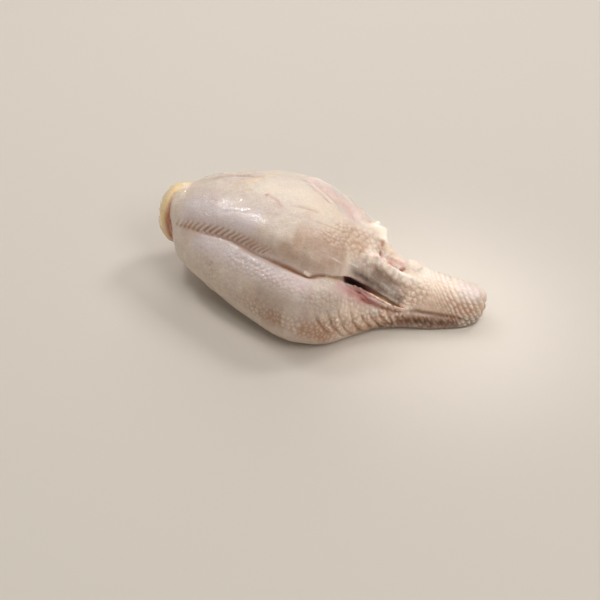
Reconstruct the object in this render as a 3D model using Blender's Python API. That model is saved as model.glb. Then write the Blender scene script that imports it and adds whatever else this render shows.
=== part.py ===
"""A raw chicken breast on the bone: both halves in their skin, with the neck skin still on."""

import math

import bmesh
import bpy
import numpy as np
from mathutils import Matrix, Vector

MM = 0.001

# The breast lies along X, from its tail end at the low end to the neck skin at the high end. Y runs
# across it, from the lobe that lies low to the one that lies high, and it rests on Z = 0. Sizes are in
# millimetres, and the finished breast is moved to stand centred over the origin.
TAIL_X = -100.0
NECK_X = 133.0

# Across the breast at each place along it: where along X, the low lobe's side and the high lobe's side
# in Y, the top and the underside in Z, and how far the highest line leans off the middle. An underside
# below zero is flattened where it rests.
SECTIONS = (
    (-100.0, 6.0, 52.0, 58.0, 27.0, 4.0),
    (-90.0, -5.0, 60.0, 64.0, 19.0, 6.0),
    (-72.0, -19.0, 68.0, 70.0, 11.0, 8.0),
    (-48.0, -33.0, 73.0, 75.0, 2.0, 10.0),
    (-20.0, -49.0, 74.0, 77.5, -4.0, 10.0),
    (8.0, -61.0, 72.0, 76.0, -5.0, 9.0),
    (30.0, -55.0, 63.0, 66.0, -5.0, 7.0),
    (50.0, -36.0, 48.0, 54.0, -5.0, 4.0),
    (70.0, -24.0, 32.0, 40.0, -5.0, 0.0),
    (95.0, -16.0, 26.0, 33.0, -4.0, 0.0),
    (118.0, -9.0, 23.0, 28.0, -4.0, 0.0),
    (133.0, -3.0, 20.0, 25.0, -2.0, 0.0),
)
WIDEST_AT = 0.36
FULLNESS_ABOVE = 2.25
FULLNESS_BELOW = 2.9
TAIL_ROUND = 9.0
NECK_ROUND = 8.0

# The skin is gathered in wrinkles round the shoulder and in finer rings round the neck. Each wrinkle
# takes two steps along X, one for its crest and one for its hollow.
WRINKLES_FROM = 22.0
RINGS_FROM = 86.0
WRINKLE_PITCH = 7.6
RING_PITCH = 4.4
BODY_STEP = 4.2
ROUND_STEPS = 60
WRINKLE_DEPTH = 1.5
RING_DEPTH = 0.9
WRINKLED_SHOULDER = ((48.0, -46.0, 22.0), (22.0, 24.0, 20.0))

# Folds of the skin: what it is, its line over the skin, its half width and how far it sinks in (or
# stands out, where the depth is below zero). Each fades at both ends.
FOLDS = (
    ("keel crease", ((-84, -2, 55), (-48, -21, 60), (-5, -38, 60), (20, -41, 53), (38, -31, 47)), 7.5, 7.5),
    ("low lobe", ((-70, -24, 42), (-28, -46, 45), (5, -58, 42), (28, -56, 34)), 14.0, -3.0),
    ("high lobe", ((-60, -2, 70), (-25, -12, 74), (8, -20, 70), (30, -16, 62)), 15.0, -2.0),
    ("neck trough", ((38, -18, 56), (47, -15, 50), (55, -13, 44), (64, -12, 38), (78, -15, 27)), 6.0, 4.5),
    ("neck ridge", ((46, -8, 55), (60, -6, 49), (67, -6, 44), (74, -7, 39), (89, -7, 33)), 5.0, -4.0),
    ("shoulder cut", ((56, 6, 48), (62, 4, 45), (68, 1, 42), (75, 0, 39)), 3.2, 4.5),
    ("wing edge", ((-12, 48, 75), (6, 33, 75), (16, 25, 73), (26, 19, 69), (44, 13, 58)), 3.5, -1.8),
    ("wing ledge", ((-14, 57, 71), (6, 42, 71), (18, 34, 68), (28, 29, 64), (40, 24, 57)), 6.0, 3.2),
    ("far skin roll", ((-45, 66, 62), (-20, 64, 65), (5, 60, 64)), 6.0, -3.5),
    ("neck seam", ((74, -21, 20), (92, -16, 17), (108, -12, 16), (122, -8, 16)), 3.2, 2.0),
)

# Egg shapes fused to the breast: what it is, its middle, its half sizes, and the way it points.
LUMPS = (
    ("tail fat", (-98.0, 31.0, 41.5), (16.0, 24.0, 23.0), (1, 0, 0)),
    ("shoulder fat", (51.5, 16.5, 49.0), (14.0, 9.5, 8.5), (10, -8, -11)),
    ("knob", (63.5, 10.5, 42.0), (5.6, 5.0, 5.0), (1, 0, 0)),
    ("skin flap", (70.5, 9.0, 37.5), (9.0, 4.4, 4.8), (10, -2, -5)),
    ("neck fat", (80.0, 9.0, 31.8), (11.0, 9.4, 9.3), (10, 0, -3)),
)

# Egg-shaped cutters for the torn skin between the low lobe and the neck: a deep mouth and the
# shallow end of the tear.
TEARS = (
    ("deep tear", (49.5, -25.5, 37.5), (15.5, 3.4, 11.0), (22, 6, -14)),
    ("shallow tear", (62.0, -22.5, 30.5), (20.0, 2.6, 5.0), (22, 6, -13)),
)
TEAR_FACES = (0.2, -0.65, 0.73)

# The tail fat stands off from the skin's end, with a crescent gap between them.
GAP_LINE = (
    (-88.0, 39.0, 67.0),
    (-94.0, 29.0, 65.0),
    (-99.5, 18.5, 60.0),
    (-101.5, 11.8, 52.0),
    (-102.0, 9.0, 42.5),
    (-101.0, 10.5, 32.0),
    (-97.0, 14.5, 23.0),
)
GAP_RADIUS = 3.1

# The neck skin was cut across at a slant, so its upper far corner reaches furthest.
NECK_SLANT_FROM = 108.0
NECK_SLANT = 4.0

SKIN_COLOUR = (0.66, 0.47, 0.37, 1.0)
SKIN_ROUGHNESS = 0.35
SHARP_FROM = 50.0


def smooth_between(places, values, wanted):
    """Values on one smooth curve through the given ones (a cubic with its slopes from the neighbours)."""
    places = np.asarray(places, float)
    values = np.asarray(values, float)
    wanted = np.clip(wanted, places[0], places[-1])
    slopes = np.gradient(values, places, axis=0)
    index = np.clip(np.searchsorted(places, wanted, side="right") - 1, 0, len(places) - 2)
    step = places[index + 1] - places[index]
    t = (wanted - places[index]) / step
    if values.ndim > 1:
        t, step = t[:, None], step[:, None]
    rise = (2 * t**3 - 3 * t**2 + 1) * values[index] + (3 * t**2 - 2 * t**3) * values[index + 1]
    lean = (t**3 - 2 * t**2 + t) * slopes[index] + (t**3 - t**2) * slopes[index + 1]
    return rise + lean * step


def stations():
    """Places along X, close together round both ends and two to each wrinkle and ring."""
    tail = TAIL_X + TAIL_ROUND * (1 - np.cos(np.linspace(0.15, math.pi / 2, 7)))
    body = np.linspace(tail[-1], WRINKLES_FROM, round((WRINKLES_FROM - tail[-1]) / BODY_STEP))
    wrinkles = np.arange(WRINKLES_FROM, RINGS_FROM, WRINKLE_PITCH / 2)
    rings = np.arange(RINGS_FROM, NECK_X - NECK_ROUND, RING_PITCH / 2)
    neck = NECK_X - NECK_ROUND * (1 - np.cos(np.linspace(math.pi / 2, 0.2, 5)))
    return np.concatenate([tail[:-1], body[:-1], wrinkles, rings, neck])


def end_size(x):
    """The share of its full size that a section keeps near the rounded ends."""
    into_tail = (TAIL_X + TAIL_ROUND - x) / TAIL_ROUND
    into_neck = (x - NECK_X + NECK_ROUND) / NECK_ROUND
    return math.sqrt(1 - max(0.0, into_tail, into_neck) ** 2)


def section(x):
    """Points of one section round the breast, from the high lobe's side over the top to the low lobe's."""
    columns = list(zip(*SECTIONS))
    low, high, top, under, lean = (float(smooth_between(columns[0], row, x)) for row in columns[1:])
    turn = np.linspace(0, 2 * math.pi, ROUND_STEPS, endpoint=False)
    across, up = np.cos(turn), np.sin(turn)
    power = 2 / np.where(up > 0, FULLNESS_ABOVE, FULLNESS_BELOW)
    across = np.sign(across) * np.abs(across) ** power
    up = np.sign(up) * np.abs(up) ** power
    middle_y = (low + high) / 2
    middle_z = under + WIDEST_AT * (top - under)
    size = end_size(x)
    y = middle_y + size * ((high - low) / 2 * across + lean * np.clip(up, 0, 1))
    z = middle_z + size * up * np.where(up > 0, top - middle_z, middle_z - under)
    slant = NECK_SLANT * np.clip((x - NECK_SLANT_FROM) / (NECK_X - NECK_SLANT_FROM), 0, 1)
    reach = 0.2 * across + 0.8 * (z - middle_z) / (top - middle_z)
    return np.column_stack([x + slant * reach, y, z])


def outward(grid):
    """The direction straight out of the skin at each point of the rings."""
    along = np.gradient(grid, axis=0)
    around = np.roll(grid, -1, axis=1) - np.roll(grid, 1, axis=1)
    normal = np.cross(around, along)
    return normal / np.maximum(np.linalg.norm(normal, axis=2, keepdims=True), 1e-9)


def bell(distance, width):
    return np.exp(-((distance / width) ** 2))


def fold(grid, line, width, depth):
    """How far each point sinks for one fold, from its distance to the fold's line."""
    line = np.array(line, float)
    knots = np.arange(len(line), dtype=float)
    share = np.linspace(0, len(line) - 1, 60)
    path = smooth_between(knots, line, share)
    gap = np.linalg.norm(grid[:, :, None, :] - path, axis=3)
    nearest = gap.argmin(axis=2)
    fade = np.sin(math.pi * np.clip(share / share[-1], 0.06, 0.94)) ** 0.6
    return depth * fade[nearest] * bell(gap.min(axis=2), width)


def wrinkled(grid, places):
    """Crests and hollows at every other station, round the low lobe's shoulder and all round the neck."""
    odd = np.where(np.arange(len(places)) % 2, 1.0, -1.0)[:, None]
    x, y, z = grid[:, :, 0], grid[:, :, 1], grid[:, :, 2]
    on_neck = (places >= RINGS_FROM)[:, None] * np.clip((NECK_X - NECK_ROUND / 2 - x) / NECK_ROUND, 0, 1)
    middle, reach = WRINKLED_SHOULDER
    shoulder = bell(x - middle[0], reach[0]) * bell(y - middle[1], reach[1]) * bell(z - middle[2], reach[2])
    return odd * (RING_DEPTH / 2 * on_neck + WRINKLE_DEPTH / 2 * shoulder * (1 - on_neck))


def skin_points():
    """Every ring of points, folded and wrinkled, with the underside flat where it rests."""
    places = stations()
    grid = np.array([section(x) for x in places])
    out = outward(grid)
    sunk = sum(fold(grid, line, width, depth) for _, line, width, depth in FOLDS)
    sunk = sunk + wrinkled(grid, places)
    grid = grid - out * sunk[:, :, None]
    grid[:, :, 2] = np.maximum(grid[:, :, 2], 0.0)
    return grid


def new_object(name, bm):
    """An object of this mesh, brought from millimetres to metres, with its faces pointing out."""
    bmesh.ops.recalc_face_normals(bm, faces=bm.faces)
    bmesh.ops.scale(bm, vec=(MM, MM, MM), verts=bm.verts)
    mesh = bpy.data.meshes.new(name)
    bm.to_mesh(mesh)
    bm.free()
    made = bpy.data.objects.new(name, mesh)
    bpy.context.scene.collection.objects.link(made)
    return made


def skinned_body():
    """The breast as rings of points, joined into one closed skin."""
    bm = bmesh.new()
    rings = [[bm.verts.new(p) for p in ring] for ring in skin_points()]
    for low, high in zip(rings, rings[1:]):
        for i in range(ROUND_STEPS):
            j = (i + 1) % ROUND_STEPS
            bm.faces.new((low[i], high[i], high[j], low[j]))
    for ring in (rings[0], rings[-1]):
        centre = bm.verts.new(sum((v.co for v in ring), Vector()) / ROUND_STEPS)
        for i in range(ROUND_STEPS):
            bm.faces.new((ring[i], ring[(i + 1) % ROUND_STEPS], centre))
    return new_object("chicken_breast", bm)


def egg(name, middle, half_sizes, points_along, faces=(0, 0, 1)):
    """An egg shape with its length along one direction and its depth turned to face another."""
    along = Vector(points_along).normalized()
    side = Vector(faces).cross(along).normalized()
    turned = Matrix((along, side, along.cross(side))).transposed()
    bm = bmesh.new()
    bmesh.ops.create_icosphere(bm, subdivisions=3, radius=1.0)
    bmesh.ops.scale(bm, vec=half_sizes, verts=bm.verts)
    bmesh.ops.transform(bm, matrix=Matrix.Translation(middle) @ turned.to_4x4(), verts=bm.verts)
    return new_object(name, bm)


def gap_cutter():
    """A bent tube, thin at both ends, along the gap between the tail fat and the skin's end."""
    share = np.linspace(0, len(GAP_LINE) - 1, 25)
    path = smooth_between(np.arange(len(GAP_LINE), dtype=float), np.array(GAP_LINE), share)
    curve = bpy.data.curves.new("gap", "CURVE")
    curve.dimensions = "3D"
    curve.bevel_depth = GAP_RADIUS * MM
    curve.bevel_resolution = 3
    curve.use_fill_caps = True
    spline = curve.splines.new("POLY")
    spline.points.add(len(path) - 1)
    for place, point, at in zip(spline.points, path, share / share[-1]):
        place.co = (*(point * MM), 1.0)
        place.radius = 0.25 + 0.75 * math.sin(math.pi * at) ** 0.7
    shown = bpy.data.objects.new("gap", curve)
    mesh = bpy.data.meshes.new_from_object(shown)
    bpy.data.objects.remove(shown)
    made = bpy.data.objects.new("gap", mesh)
    bpy.context.scene.collection.objects.link(made)
    return made


def apply_boolean(target, other, operation):
    """Fuse the other shape with the target, or cut it away, and remove it."""
    cut = target.modifiers.new(other.name, "BOOLEAN")
    cut.object = other
    cut.operation = operation
    cut.solver = "EXACT"
    bpy.context.view_layer.objects.active = target
    bpy.ops.object.modifier_apply(modifier=cut.name)
    bpy.data.objects.remove(other)


def stand_over_origin(made):
    """Move the mesh so that its box is centred over the origin and its lowest point is at Z = 0."""
    points = np.array([vertex.co for vertex in made.data.vertices])
    low, high = points.min(axis=0), points.max(axis=0)
    middle = (low + high) / 2
    made.data.transform(Matrix.Translation((-middle[0], -middle[1], -low[2])))


def raw_skin():
    """Raw chicken skin: pale pinkish cream, wet and softly glossy."""
    material = bpy.data.materials.new("raw chicken skin")
    material.use_nodes = True
    shader = material.node_tree.nodes["Principled BSDF"]
    shader.inputs["Base Color"].default_value = SKIN_COLOUR
    shader.inputs["Roughness"].default_value = SKIN_ROUGHNESS
    shader.inputs["Metallic"].default_value = 0.0
    return material


def main():
    for old in list(bpy.data.objects):
        bpy.data.objects.remove(old)
    breast = skinned_body()
    for name, middle, half_sizes, points_along in LUMPS:
        apply_boolean(breast, egg(name, middle, half_sizes, points_along), "UNION")
    for name, middle, half_sizes, points_along in TEARS:
        apply_boolean(breast, egg(name, middle, half_sizes, points_along, TEAR_FACES), "DIFFERENCE")
    apply_boolean(breast, gap_cutter(), "DIFFERENCE")
    stand_over_origin(breast)
    breast.data.materials.append(raw_skin())
    breast.data.shade_smooth()
    breast.data.set_sharp_from_angle(angle=math.radians(SHARP_FROM))


main()
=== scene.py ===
"""A raw chicken breast on the bone: both lobes in their skin, with the neck skin still on."""

import math

import bpy
import numpy as np
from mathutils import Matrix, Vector, noise
from mathutils.bvhtree import BVHTree
from mathutils.kdtree import KDTree


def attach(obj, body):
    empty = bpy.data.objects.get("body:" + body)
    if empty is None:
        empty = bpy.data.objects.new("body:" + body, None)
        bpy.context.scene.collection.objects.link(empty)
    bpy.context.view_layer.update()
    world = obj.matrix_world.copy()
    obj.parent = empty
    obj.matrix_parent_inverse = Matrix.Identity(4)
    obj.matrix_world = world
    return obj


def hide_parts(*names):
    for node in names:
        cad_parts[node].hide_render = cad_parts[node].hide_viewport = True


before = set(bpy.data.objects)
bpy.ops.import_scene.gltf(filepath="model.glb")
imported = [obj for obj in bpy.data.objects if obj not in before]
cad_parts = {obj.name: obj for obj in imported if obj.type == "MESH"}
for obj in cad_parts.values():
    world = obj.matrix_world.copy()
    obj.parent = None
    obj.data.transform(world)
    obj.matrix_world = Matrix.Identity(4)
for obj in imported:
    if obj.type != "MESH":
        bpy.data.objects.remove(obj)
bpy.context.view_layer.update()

bpy.ops.object.select_all(action="DESELECT")

# The camera stands where the photo's stood: beyond the low lobe, about 84 cm away and 38 degrees above
# the surface that the breast lies on. The lens is a short telephoto, 69 mm on a 36 mm sensor, and the
# picture is 600 pixels square.
MM = 0.001
PHOTO_SIDE = 600
LENS_MM = 69.0
SENSOR_MM = 36.0
VIEW_POINT = Vector((0.13915, -0.65295, 0.5148))
AIM_POINT = Vector((-0.00995, -0.00695, 0.0))

bpy.ops.object.camera_add(location=VIEW_POINT)
camera = bpy.context.object
camera.rotation_euler = (AIM_POINT - VIEW_POINT).to_track_quat("-Z", "Y").to_euler()
camera.data.lens = LENS_MM
camera.data.sensor_width = SENSOR_MM
bpy.context.scene.camera = camera
bpy.context.view_layer.update()

# The breast itself: meat, bone and fat held together by one loose wet skin. It starts as a copy of the
# solid, its loose triangles joined, evened out to squares under 2 mm and smoothed as soft meat is.
JOINED_WITHIN = 0.02 * MM
FORM_SQUARE = 1.8 * MM
FORM_SMOOTHINGS = 16
SMOOTHING = 0.5

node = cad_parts["chicken_breast"]
node.select_set(True)
bpy.context.view_layer.objects.active = node
bpy.ops.object.duplicate()
breast = bpy.context.object
breast.name = "breast_in_skin"
for key in list(breast.keys()):
    del breast[key]


def edit_whole(piece, operator, **settings):
    """Run one edit mode operator on the whole of a piece."""
    bpy.context.view_layer.objects.active = piece
    bpy.ops.object.mode_set(mode="EDIT")
    bpy.ops.mesh.select_all(action="SELECT")
    operator(**settings)
    bpy.ops.object.mode_set(mode="OBJECT")


def finish_with(piece, kind, **settings):
    """Give the piece a modifier with these settings and apply it."""
    bpy.context.view_layer.objects.active = piece
    modifier = piece.modifiers.new(kind.lower(), kind)
    for name, value in settings.items():
        setattr(modifier, name, value)
    bpy.ops.object.modifier_apply(modifier=modifier.name)


edit_whole(breast, bpy.ops.mesh.remove_doubles, threshold=JOINED_WITHIN)
finish_with(breast, "REMESH", mode="VOXEL", voxel_size=FORM_SQUARE)
finish_with(breast, "SMOOTH", factor=SMOOTHING, iterations=FORM_SMOOTHINGS)

# The skin is torn open from the end of the keel to the neck: shallow over the bone, deep behind the low
# lobe and shallow again along the neck. A closed slot between the tear's two edges as seen cuts it.
TEAR_UPPER = (
    (326, 276.2), (336, 276), (343.6, 276.2), (345, 275.9), (350.5, 277.2), (356, 280), (363, 283.6),
    (370, 287.8), (377, 292), (384, 296.4), (391, 301.3), (398, 305.8), (403, 309.2),
)
TEAR_LOWER = (
    (326, 277.4), (336, 279.8), (343.6, 281.6), (345, 282.4), (350.5, 284.4), (356, 287), (363, 290.2),
    (370, 294.4), (377, 298.6), (384, 302.2), (391, 305.6), (398, 308.8), (403, 310.8),
)
TEAR_DEPTHS = (0.6, 1.4, 2, 10, 12, 12, 10, 6, 3.5, 2.4, 1.8, 1.5, 0.6)
TEAR_LEAN = (0, 0.1, -0.12)
CUTTER_ABOVE = 6.0
CUTTER_WALLS = 0.7
SEARCH_FROM = 0.65
SEARCH_STEP = 0.005
SEARCH_STEPS = 80


def values_of(items, name, each=3, kind=float):
    """One value of every item of a mesh, such as each point's place, as an array."""
    flat = np.empty(len(items) * each, kind)
    items.foreach_get(name, flat)
    return flat.reshape(-1, each)


def look_again():
    """Read the skin's points, in millimetres, and directions, and make ready to find what is seen."""
    global points, normals, skin_tree
    points = values_of(breast.data.vertices, "co") / MM
    normals = values_of(breast.data.vertices, "normal")
    skin_tree = BVHTree.FromObject(breast, bpy.context.evaluated_depsgraph_get())


def seen_at(pixel):
    """The point of the skin, in millimetres, seen at this pixel of the photo, or else the nearest one."""
    step = SENSOR_MM / LENS_MM / PHOTO_SIDE
    sight = Vector(((pixel[0] - PHOTO_SIDE / 2) * step, (PHOTO_SIDE / 2 - pixel[1]) * step, -1.0))
    sight = (camera.matrix_world.to_3x3() @ sight).normalized()
    hit = skin_tree.ray_cast(VIEW_POINT, sight)[0]
    if hit is None:
        tries = [VIEW_POINT + sight * (SEARCH_FROM + SEARCH_STEP * i) for i in range(SEARCH_STEPS)]
        hit = min((skin_tree.find_nearest(place) for place in tries), key=lambda found: found[3])[0]
    return np.array(hit) / MM


def smooth_through(knots, count):
    """Points on one smooth curve through the knots (a cubic with its slopes from the neighbours)."""
    knots = np.asarray(knots, float)
    slopes = np.gradient(knots, axis=0)
    at = np.linspace(0, len(knots) - 1, count)
    index = np.minimum(at.astype(int), len(knots) - 2)
    t = (at - index).reshape(-1, *[1] * (knots.ndim - 1))
    rise = (2 * t**3 - 3 * t**2 + 1) * knots[index] + (3 * t**2 - 2 * t**3) * knots[index + 1]
    return rise + (t**3 - 2 * t**2 + t) * slopes[index] + (t**3 - t**2) * slopes[index + 1]


look_again()
away = np.array((AIM_POINT - VIEW_POINT).normalized())
inward = away + np.array(TEAR_LEAN)
inward = inward / np.linalg.norm(inward)
rings = []
for one, other, depth in zip(TEAR_UPPER, TEAR_LOWER, TEAR_DEPTHS):
    one, other = seen_at(one), seen_at(other)
    bottom = (one + other) / 2 + inward * depth
    rings.append((
        one - away * CUTTER_ABOVE, other - away * CUTTER_ABOVE, other + inward * depth * CUTTER_WALLS,
        bottom, one + inward * depth * CUTTER_WALLS,
    ))
sides = len(rings[0])
corners = [tuple(corner * MM) for ring in rings for corner in ring]
faces = [tuple(range(sides))[::-1], tuple(range(len(corners) - sides, len(corners)))]
for first in range(0, len(corners) - sides, sides):
    for i in range(sides):
        j = (i + 1) % sides
        faces.append((first + i, first + j, first + sides + j, first + sides + i))
slot = bpy.data.meshes.new("tear")
slot.from_pydata(corners, [], faces)
cutter = bpy.data.objects.new("tear", slot)
bpy.context.scene.collection.objects.link(cutter)
bpy.ops.object.select_all(action="DESELECT")
edit_whole(cutter, bpy.ops.mesh.quads_convert_to_tris)
edit_whole(cutter, bpy.ops.mesh.normals_make_consistent, inside=False)

# The skin is finer where it is gathered and pitted: on the neck, along the low lobe, on the shoulder and
# along the keel. The squares there are divided once more, so that each bump has a few of its own. Then the
# slot cuts the tear.
SKIN_SQUARE = 1.42 * MM
SKIN_SMOOTHINGS = 3
DIVIDED_SMOOTHINGS = 2
CUT_SMOOTHINGS = 1
FINE_ZONES = (
    ((52, -60, 1.5), (140, 60, 90)),
    ((-70, -80, 3), (52, -28, 60)),
    ((0, -40, 40), (60, 30, 75)),
    ((-95, -26, 46), (0, -4, 66)),
)


def edit_faces(piece, chosen):
    """Open the piece in edit mode with only these of its faces selected."""
    bpy.ops.object.select_all(action="DESELECT")
    piece.select_set(True)
    bpy.context.view_layer.objects.active = piece
    bpy.ops.object.mode_set(mode="EDIT")
    bpy.ops.mesh.select_mode(type="FACE")
    bpy.ops.mesh.select_all(action="DESELECT")
    bpy.ops.object.mode_set(mode="OBJECT")
    piece.data.polygons.foreach_set("select", chosen)
    bpy.ops.object.mode_set(mode="EDIT")


finish_with(breast, "REMESH", mode="VOXEL", voxel_size=SKIN_SQUARE)
finish_with(breast, "SMOOTH", factor=SMOOTHING, iterations=SKIN_SMOOTHINGS)
middles = values_of(breast.data.polygons, "center") / MM
finer = np.zeros(len(middles), bool)
for low, high in FINE_ZONES:
    finer |= ((middles > np.array(low)) & (middles < np.array(high))).all(axis=1)
edit_faces(breast, finer)
bpy.ops.mesh.subdivide(number_cuts=1)
bpy.ops.object.mode_set(mode="OBJECT")
finish_with(breast, "SMOOTH", factor=SMOOTHING, iterations=DIVIDED_SMOOTHINGS)
look_again()
uncut_tree = skin_tree
finish_with(breast, "BOOLEAN", object=cutter, operation="DIFFERENCE", solver="MANIFOLD")
bpy.data.objects.remove(cutter)
finish_with(breast, "SMOOTH", factor=SMOOTHING, iterations=CUT_SMOOTHINGS)
breast.data.shade_smooth()
look_again()
depth_in = np.array([uncut_tree.find_nearest(Vector(point) * MM)[3] for point in points]) / MM

# The skin is shaped by strokes, as a finger or a modelling tool would press it: each follows a line that
# is seen in the photo, and lifts or sinks what is near it by its half width and height in millimetres. The
# same strokes carry the stains, kept as shares from 0 to 1 at each point, which the finish reads.
# Some stains are painted light. The crevice, dark and pocket stains are painted shade. The brown and grey
# ones are partly the meat's own tone and partly painted shade. The pearl one is partly pale tissue and
# partly a painted highlight.
STAINS = (
    "cream", "brown", "umber", "grey", "lilac", "flesh", "blood", "bone", "fat", "amber", "pearl", "hollow",
    "gore", "wet",
)
LEAST_POINTS = 6
PLACED_POINTS = 40
LEAST_STEP = 1e-9
STROKE_REACH = 3

lift = np.zeros(len(points))
stains = {name: np.zeros(len(points)) for name in STAINS}


def on_skin(place):
    """The point of the skin nearest to a place, both in millimetres."""
    return np.array(skin_tree.find_nearest(Vector(place) * MM)[0]) / MM


def path_of(line):
    """A path over the skin, smooth through a line's pixels or, of three numbers each, its places."""
    if len(line[0]) == 3:
        return np.array([on_skin(place) for place in smooth_through(line, PLACED_POINTS)])
    length = sum(math.dist(a, b) for a, b in zip(line, line[1:]))
    return np.array([seen_at(pixel) for pixel in smooth_through(line, max(LEAST_POINTS, round(length)))])


def near(path, reach):
    """The skin's points within reach of a path: which they are, how far off it and how far along it."""
    inside = ((points > path.min(axis=0) - reach) & (points < path.max(axis=0) + reach)).all(axis=1)
    chosen = np.flatnonzero(inside)
    step = np.diff(path, axis=0)
    length = np.maximum((step**2).sum(axis=1), LEAST_STEP)
    best = np.full(len(chosen), np.inf)
    share = np.zeros(len(chosen))
    for i in range(len(step)):
        offset = points[chosen] - path[i]
        t = np.clip(offset @ step[i] / length[i], 0, 1)
        gap = ((offset - t[:, None] * step[i]) ** 2).sum(axis=1)
        closer = gap < best
        best[closer] = gap[closer]
        share[closer] = ((i + t) / len(step))[closer]
    distance = np.sqrt(best)
    kept = distance < reach
    return chosen[kept], distance[kept], share[kept]


def bell(distance, width):
    """1 at no distance, falling off smoothly to almost nothing at twice the half width."""
    return np.exp(-((distance / width) ** 2))


def along(values, share):
    """A value that changes along a path, read at these shares of its length."""
    values = np.atleast_1d(np.asarray(values, float))
    return np.interp(share, np.linspace(0, 1, len(values)), values) if len(values) > 1 else values[0]


def tapered(share, fade):
    """1 in the middle of a path, easing to 0 over this share of it at each end."""
    if not fade:
        return 1.0
    t = np.clip(np.minimum(share, 1 - share) / fade, 0, 1)
    return t * t * (3 - 2 * t)


def deepen(name, chosen, shares):
    """Stain these points of the skin at least this strongly."""
    stains[name][chosen] = np.maximum(stains[name][chosen], shares)


def stroke(path, width, height=0.0, fade=0.2, **tints):
    """Lift the skin along a path by this height, or sink it, and stain it by these shares."""
    chosen, distance, share = near(path, STROKE_REACH * np.max(width))
    shape = bell(distance, along(width, share)) * tapered(share, fade)
    lift[chosen] += shape * along(height, share)
    for name, strength in tints.items():
        deepen(name, chosen, shape * along(strength, share))


def settle():
    """Move the skin out or in by what the strokes have gathered, then start afresh."""
    moved = points + normals * lift[:, None]
    moved[:, 2] = np.maximum(moved[:, 2], 0.0)
    breast.data.vertices.foreach_set("co", (moved * MM).ravel())
    breast.data.update()
    lift[:] = 0.0
    look_again()


# What lies under the skin tints it: cream fat under the high lobe and the neck, and lilac where the skin is
# thin. Brown, grey and dark washes over the low lobe, beside the keel, along the neck's underside and under
# its overhang are painted shade, partly the meat's own browner tone. Lines of fat, creases darkened with
# painted shade and one small vein mark the top. The wettest places are marked here as well.
WASHES = (
    # tint, strength, half width, along
    ("cream", 0.85, 12, ((258, 186), (280, 190), (302, 196), (325, 210), (345, 224))),
    ("cream", 0.70, 11, ((318, 224), (345, 234), (368, 242), (385, 254))),
    ("brown", 0.55, 14, ((290, 238), (320, 244), (350, 254))),
    ("brown", 0.50, 11, ((340, 232), (355, 240), (368, 250))),
    ("brown", 0.35, 9, ((398, 292), (415, 296), (432, 302), (448, 310))),
    ("grey", 0.18, 12, ((300, 252), (325, 258), (345, 264))),
    ("grey", 0.30, 12, ((296, 298), (320, 304), (342, 310))),
    ("cream", 0.40, 9, ((315, 300), (330, 312), (350, 318), (375, 316))),
    ("cream", 0.80, 11, ((405, 268), (425, 276), (445, 286), (462, 300))),
    ("pearl", 0.50, 8, ((418, 268), (440, 278), (462, 290), (480, 300))),
    ("lilac", 0.85, 13, ((182, 204), (205, 210), (230, 216), (262, 226))),
    ("lilac", 0.80, 10, ((188, 236), (215, 246), (240, 258), (275, 274), (318, 294))),
    ("brown", 0.45, 6, ((184, 221), (215, 232), (262, 249), (300, 264))),
    ("brown", 0.55, 9, ((275, 248), (295, 256), (318, 262), (338, 262))),
    ("brown", 0.30, 9, ((240, 290), (262, 300), (285, 306))),
    ("brown", 0.50, 9, ((258, 314), (270, 318), (283, 322))),
    ("brown", 0.65, 8, ((298, 327), (316, 334), (332, 339))),
    ("brown", 0.60, 7, ((342, 334), (372, 328), (400, 324), (440, 326), (464, 326))),
    ("brown", 0.90, 4.5, ((404, 319), (420, 321), (440, 323), (458, 324))),
    ("umber", 0.90, 5, ((392, 321), (420, 322), (440, 323.5), (462, 325))),
    ("umber", 0.60, 1.6, ((406.5, 309.6), (424, 313.4), (441, 316.6), (458.8, 318))),
    ("grey", 0.22, 14, ((250, 288), (280, 298), (305, 308), (325, 318))),
    ("brown", 0.35, 8, ((262, 272), (290, 284), (315, 292))),
)
FAT_LINES = (
    (
        (219.5, 188), (235.6, 185.4), (241, 183), (248.6, 180.8), (258.6, 178.5), (266.2, 177.4),
        (272, 175.4),
    ),
    ((243.3, 185.4), (248.5, 183.4), (254, 181.6), (260, 180.2), (265.4, 179.6)),
    ((244, 193), (245, 191.2), (246.6, 189.8), (250.9, 188.8), (255.5, 189.4)),
    ((264.7, 176.4), (271.6, 174.8), (281.5, 173)),
)
CREASES = (
    ((216.5, 211.4), (226, 211.4), (235.6, 210.9), (246.3, 210.6), (252, 212)),
    ((205, 199.6), (215, 200.4), (226, 201.4)),
    ((289, 206), (300, 207.6), (312, 210.6), (324, 214)),
    ((303, 219), (318, 222), (332, 227), (348, 235), (356, 240)),
)
VEIN = ((267, 195), (270, 196.2), (274, 198.4), (277.7, 200.8), (280.7, 205.4), (285.3, 208.4))
VEIN_SPOT = (267.4, 194.8)
SPOT_LENGTH = 0.01
WET_LINES = (
    # half width, along pixels of the photo or places in millimetres
    (14, ((176, 196), (205, 204), (235, 206), (262, 210), (285, 222))),
    (9, ((190, 236), (215, 243), (240, 254), (262, 266), (290, 282))),
    (6, ((163, 196), (158, 212), (162, 232))),
    (10, ((-90, 30, 46), (-50, 52, 42), (0, 64, 30))),
    (6, ((346, 284), (362, 292), (380, 302), (400, 310))),
    (5, ((383, 254), (392, 260), (403, 267))),
    (8, ((462, 286), (474, 291), (484, 296))),
)


def mark(line, *sizes, **tints):
    """A stroke along a line of pixels or places."""
    stroke(path_of(line), *sizes, **tints)


def touch(place, *sizes, **tints):
    """Lift, sink or stain one round spot of the skin."""
    stroke(np.array([place, place + SPOT_LENGTH]), *sizes, fade=0, **tints)


def dab(pixel, *sizes, **tints):
    """Lift, sink or stain one round spot that is seen at this pixel."""
    touch(seen_at(pixel), *sizes, **tints)


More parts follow.
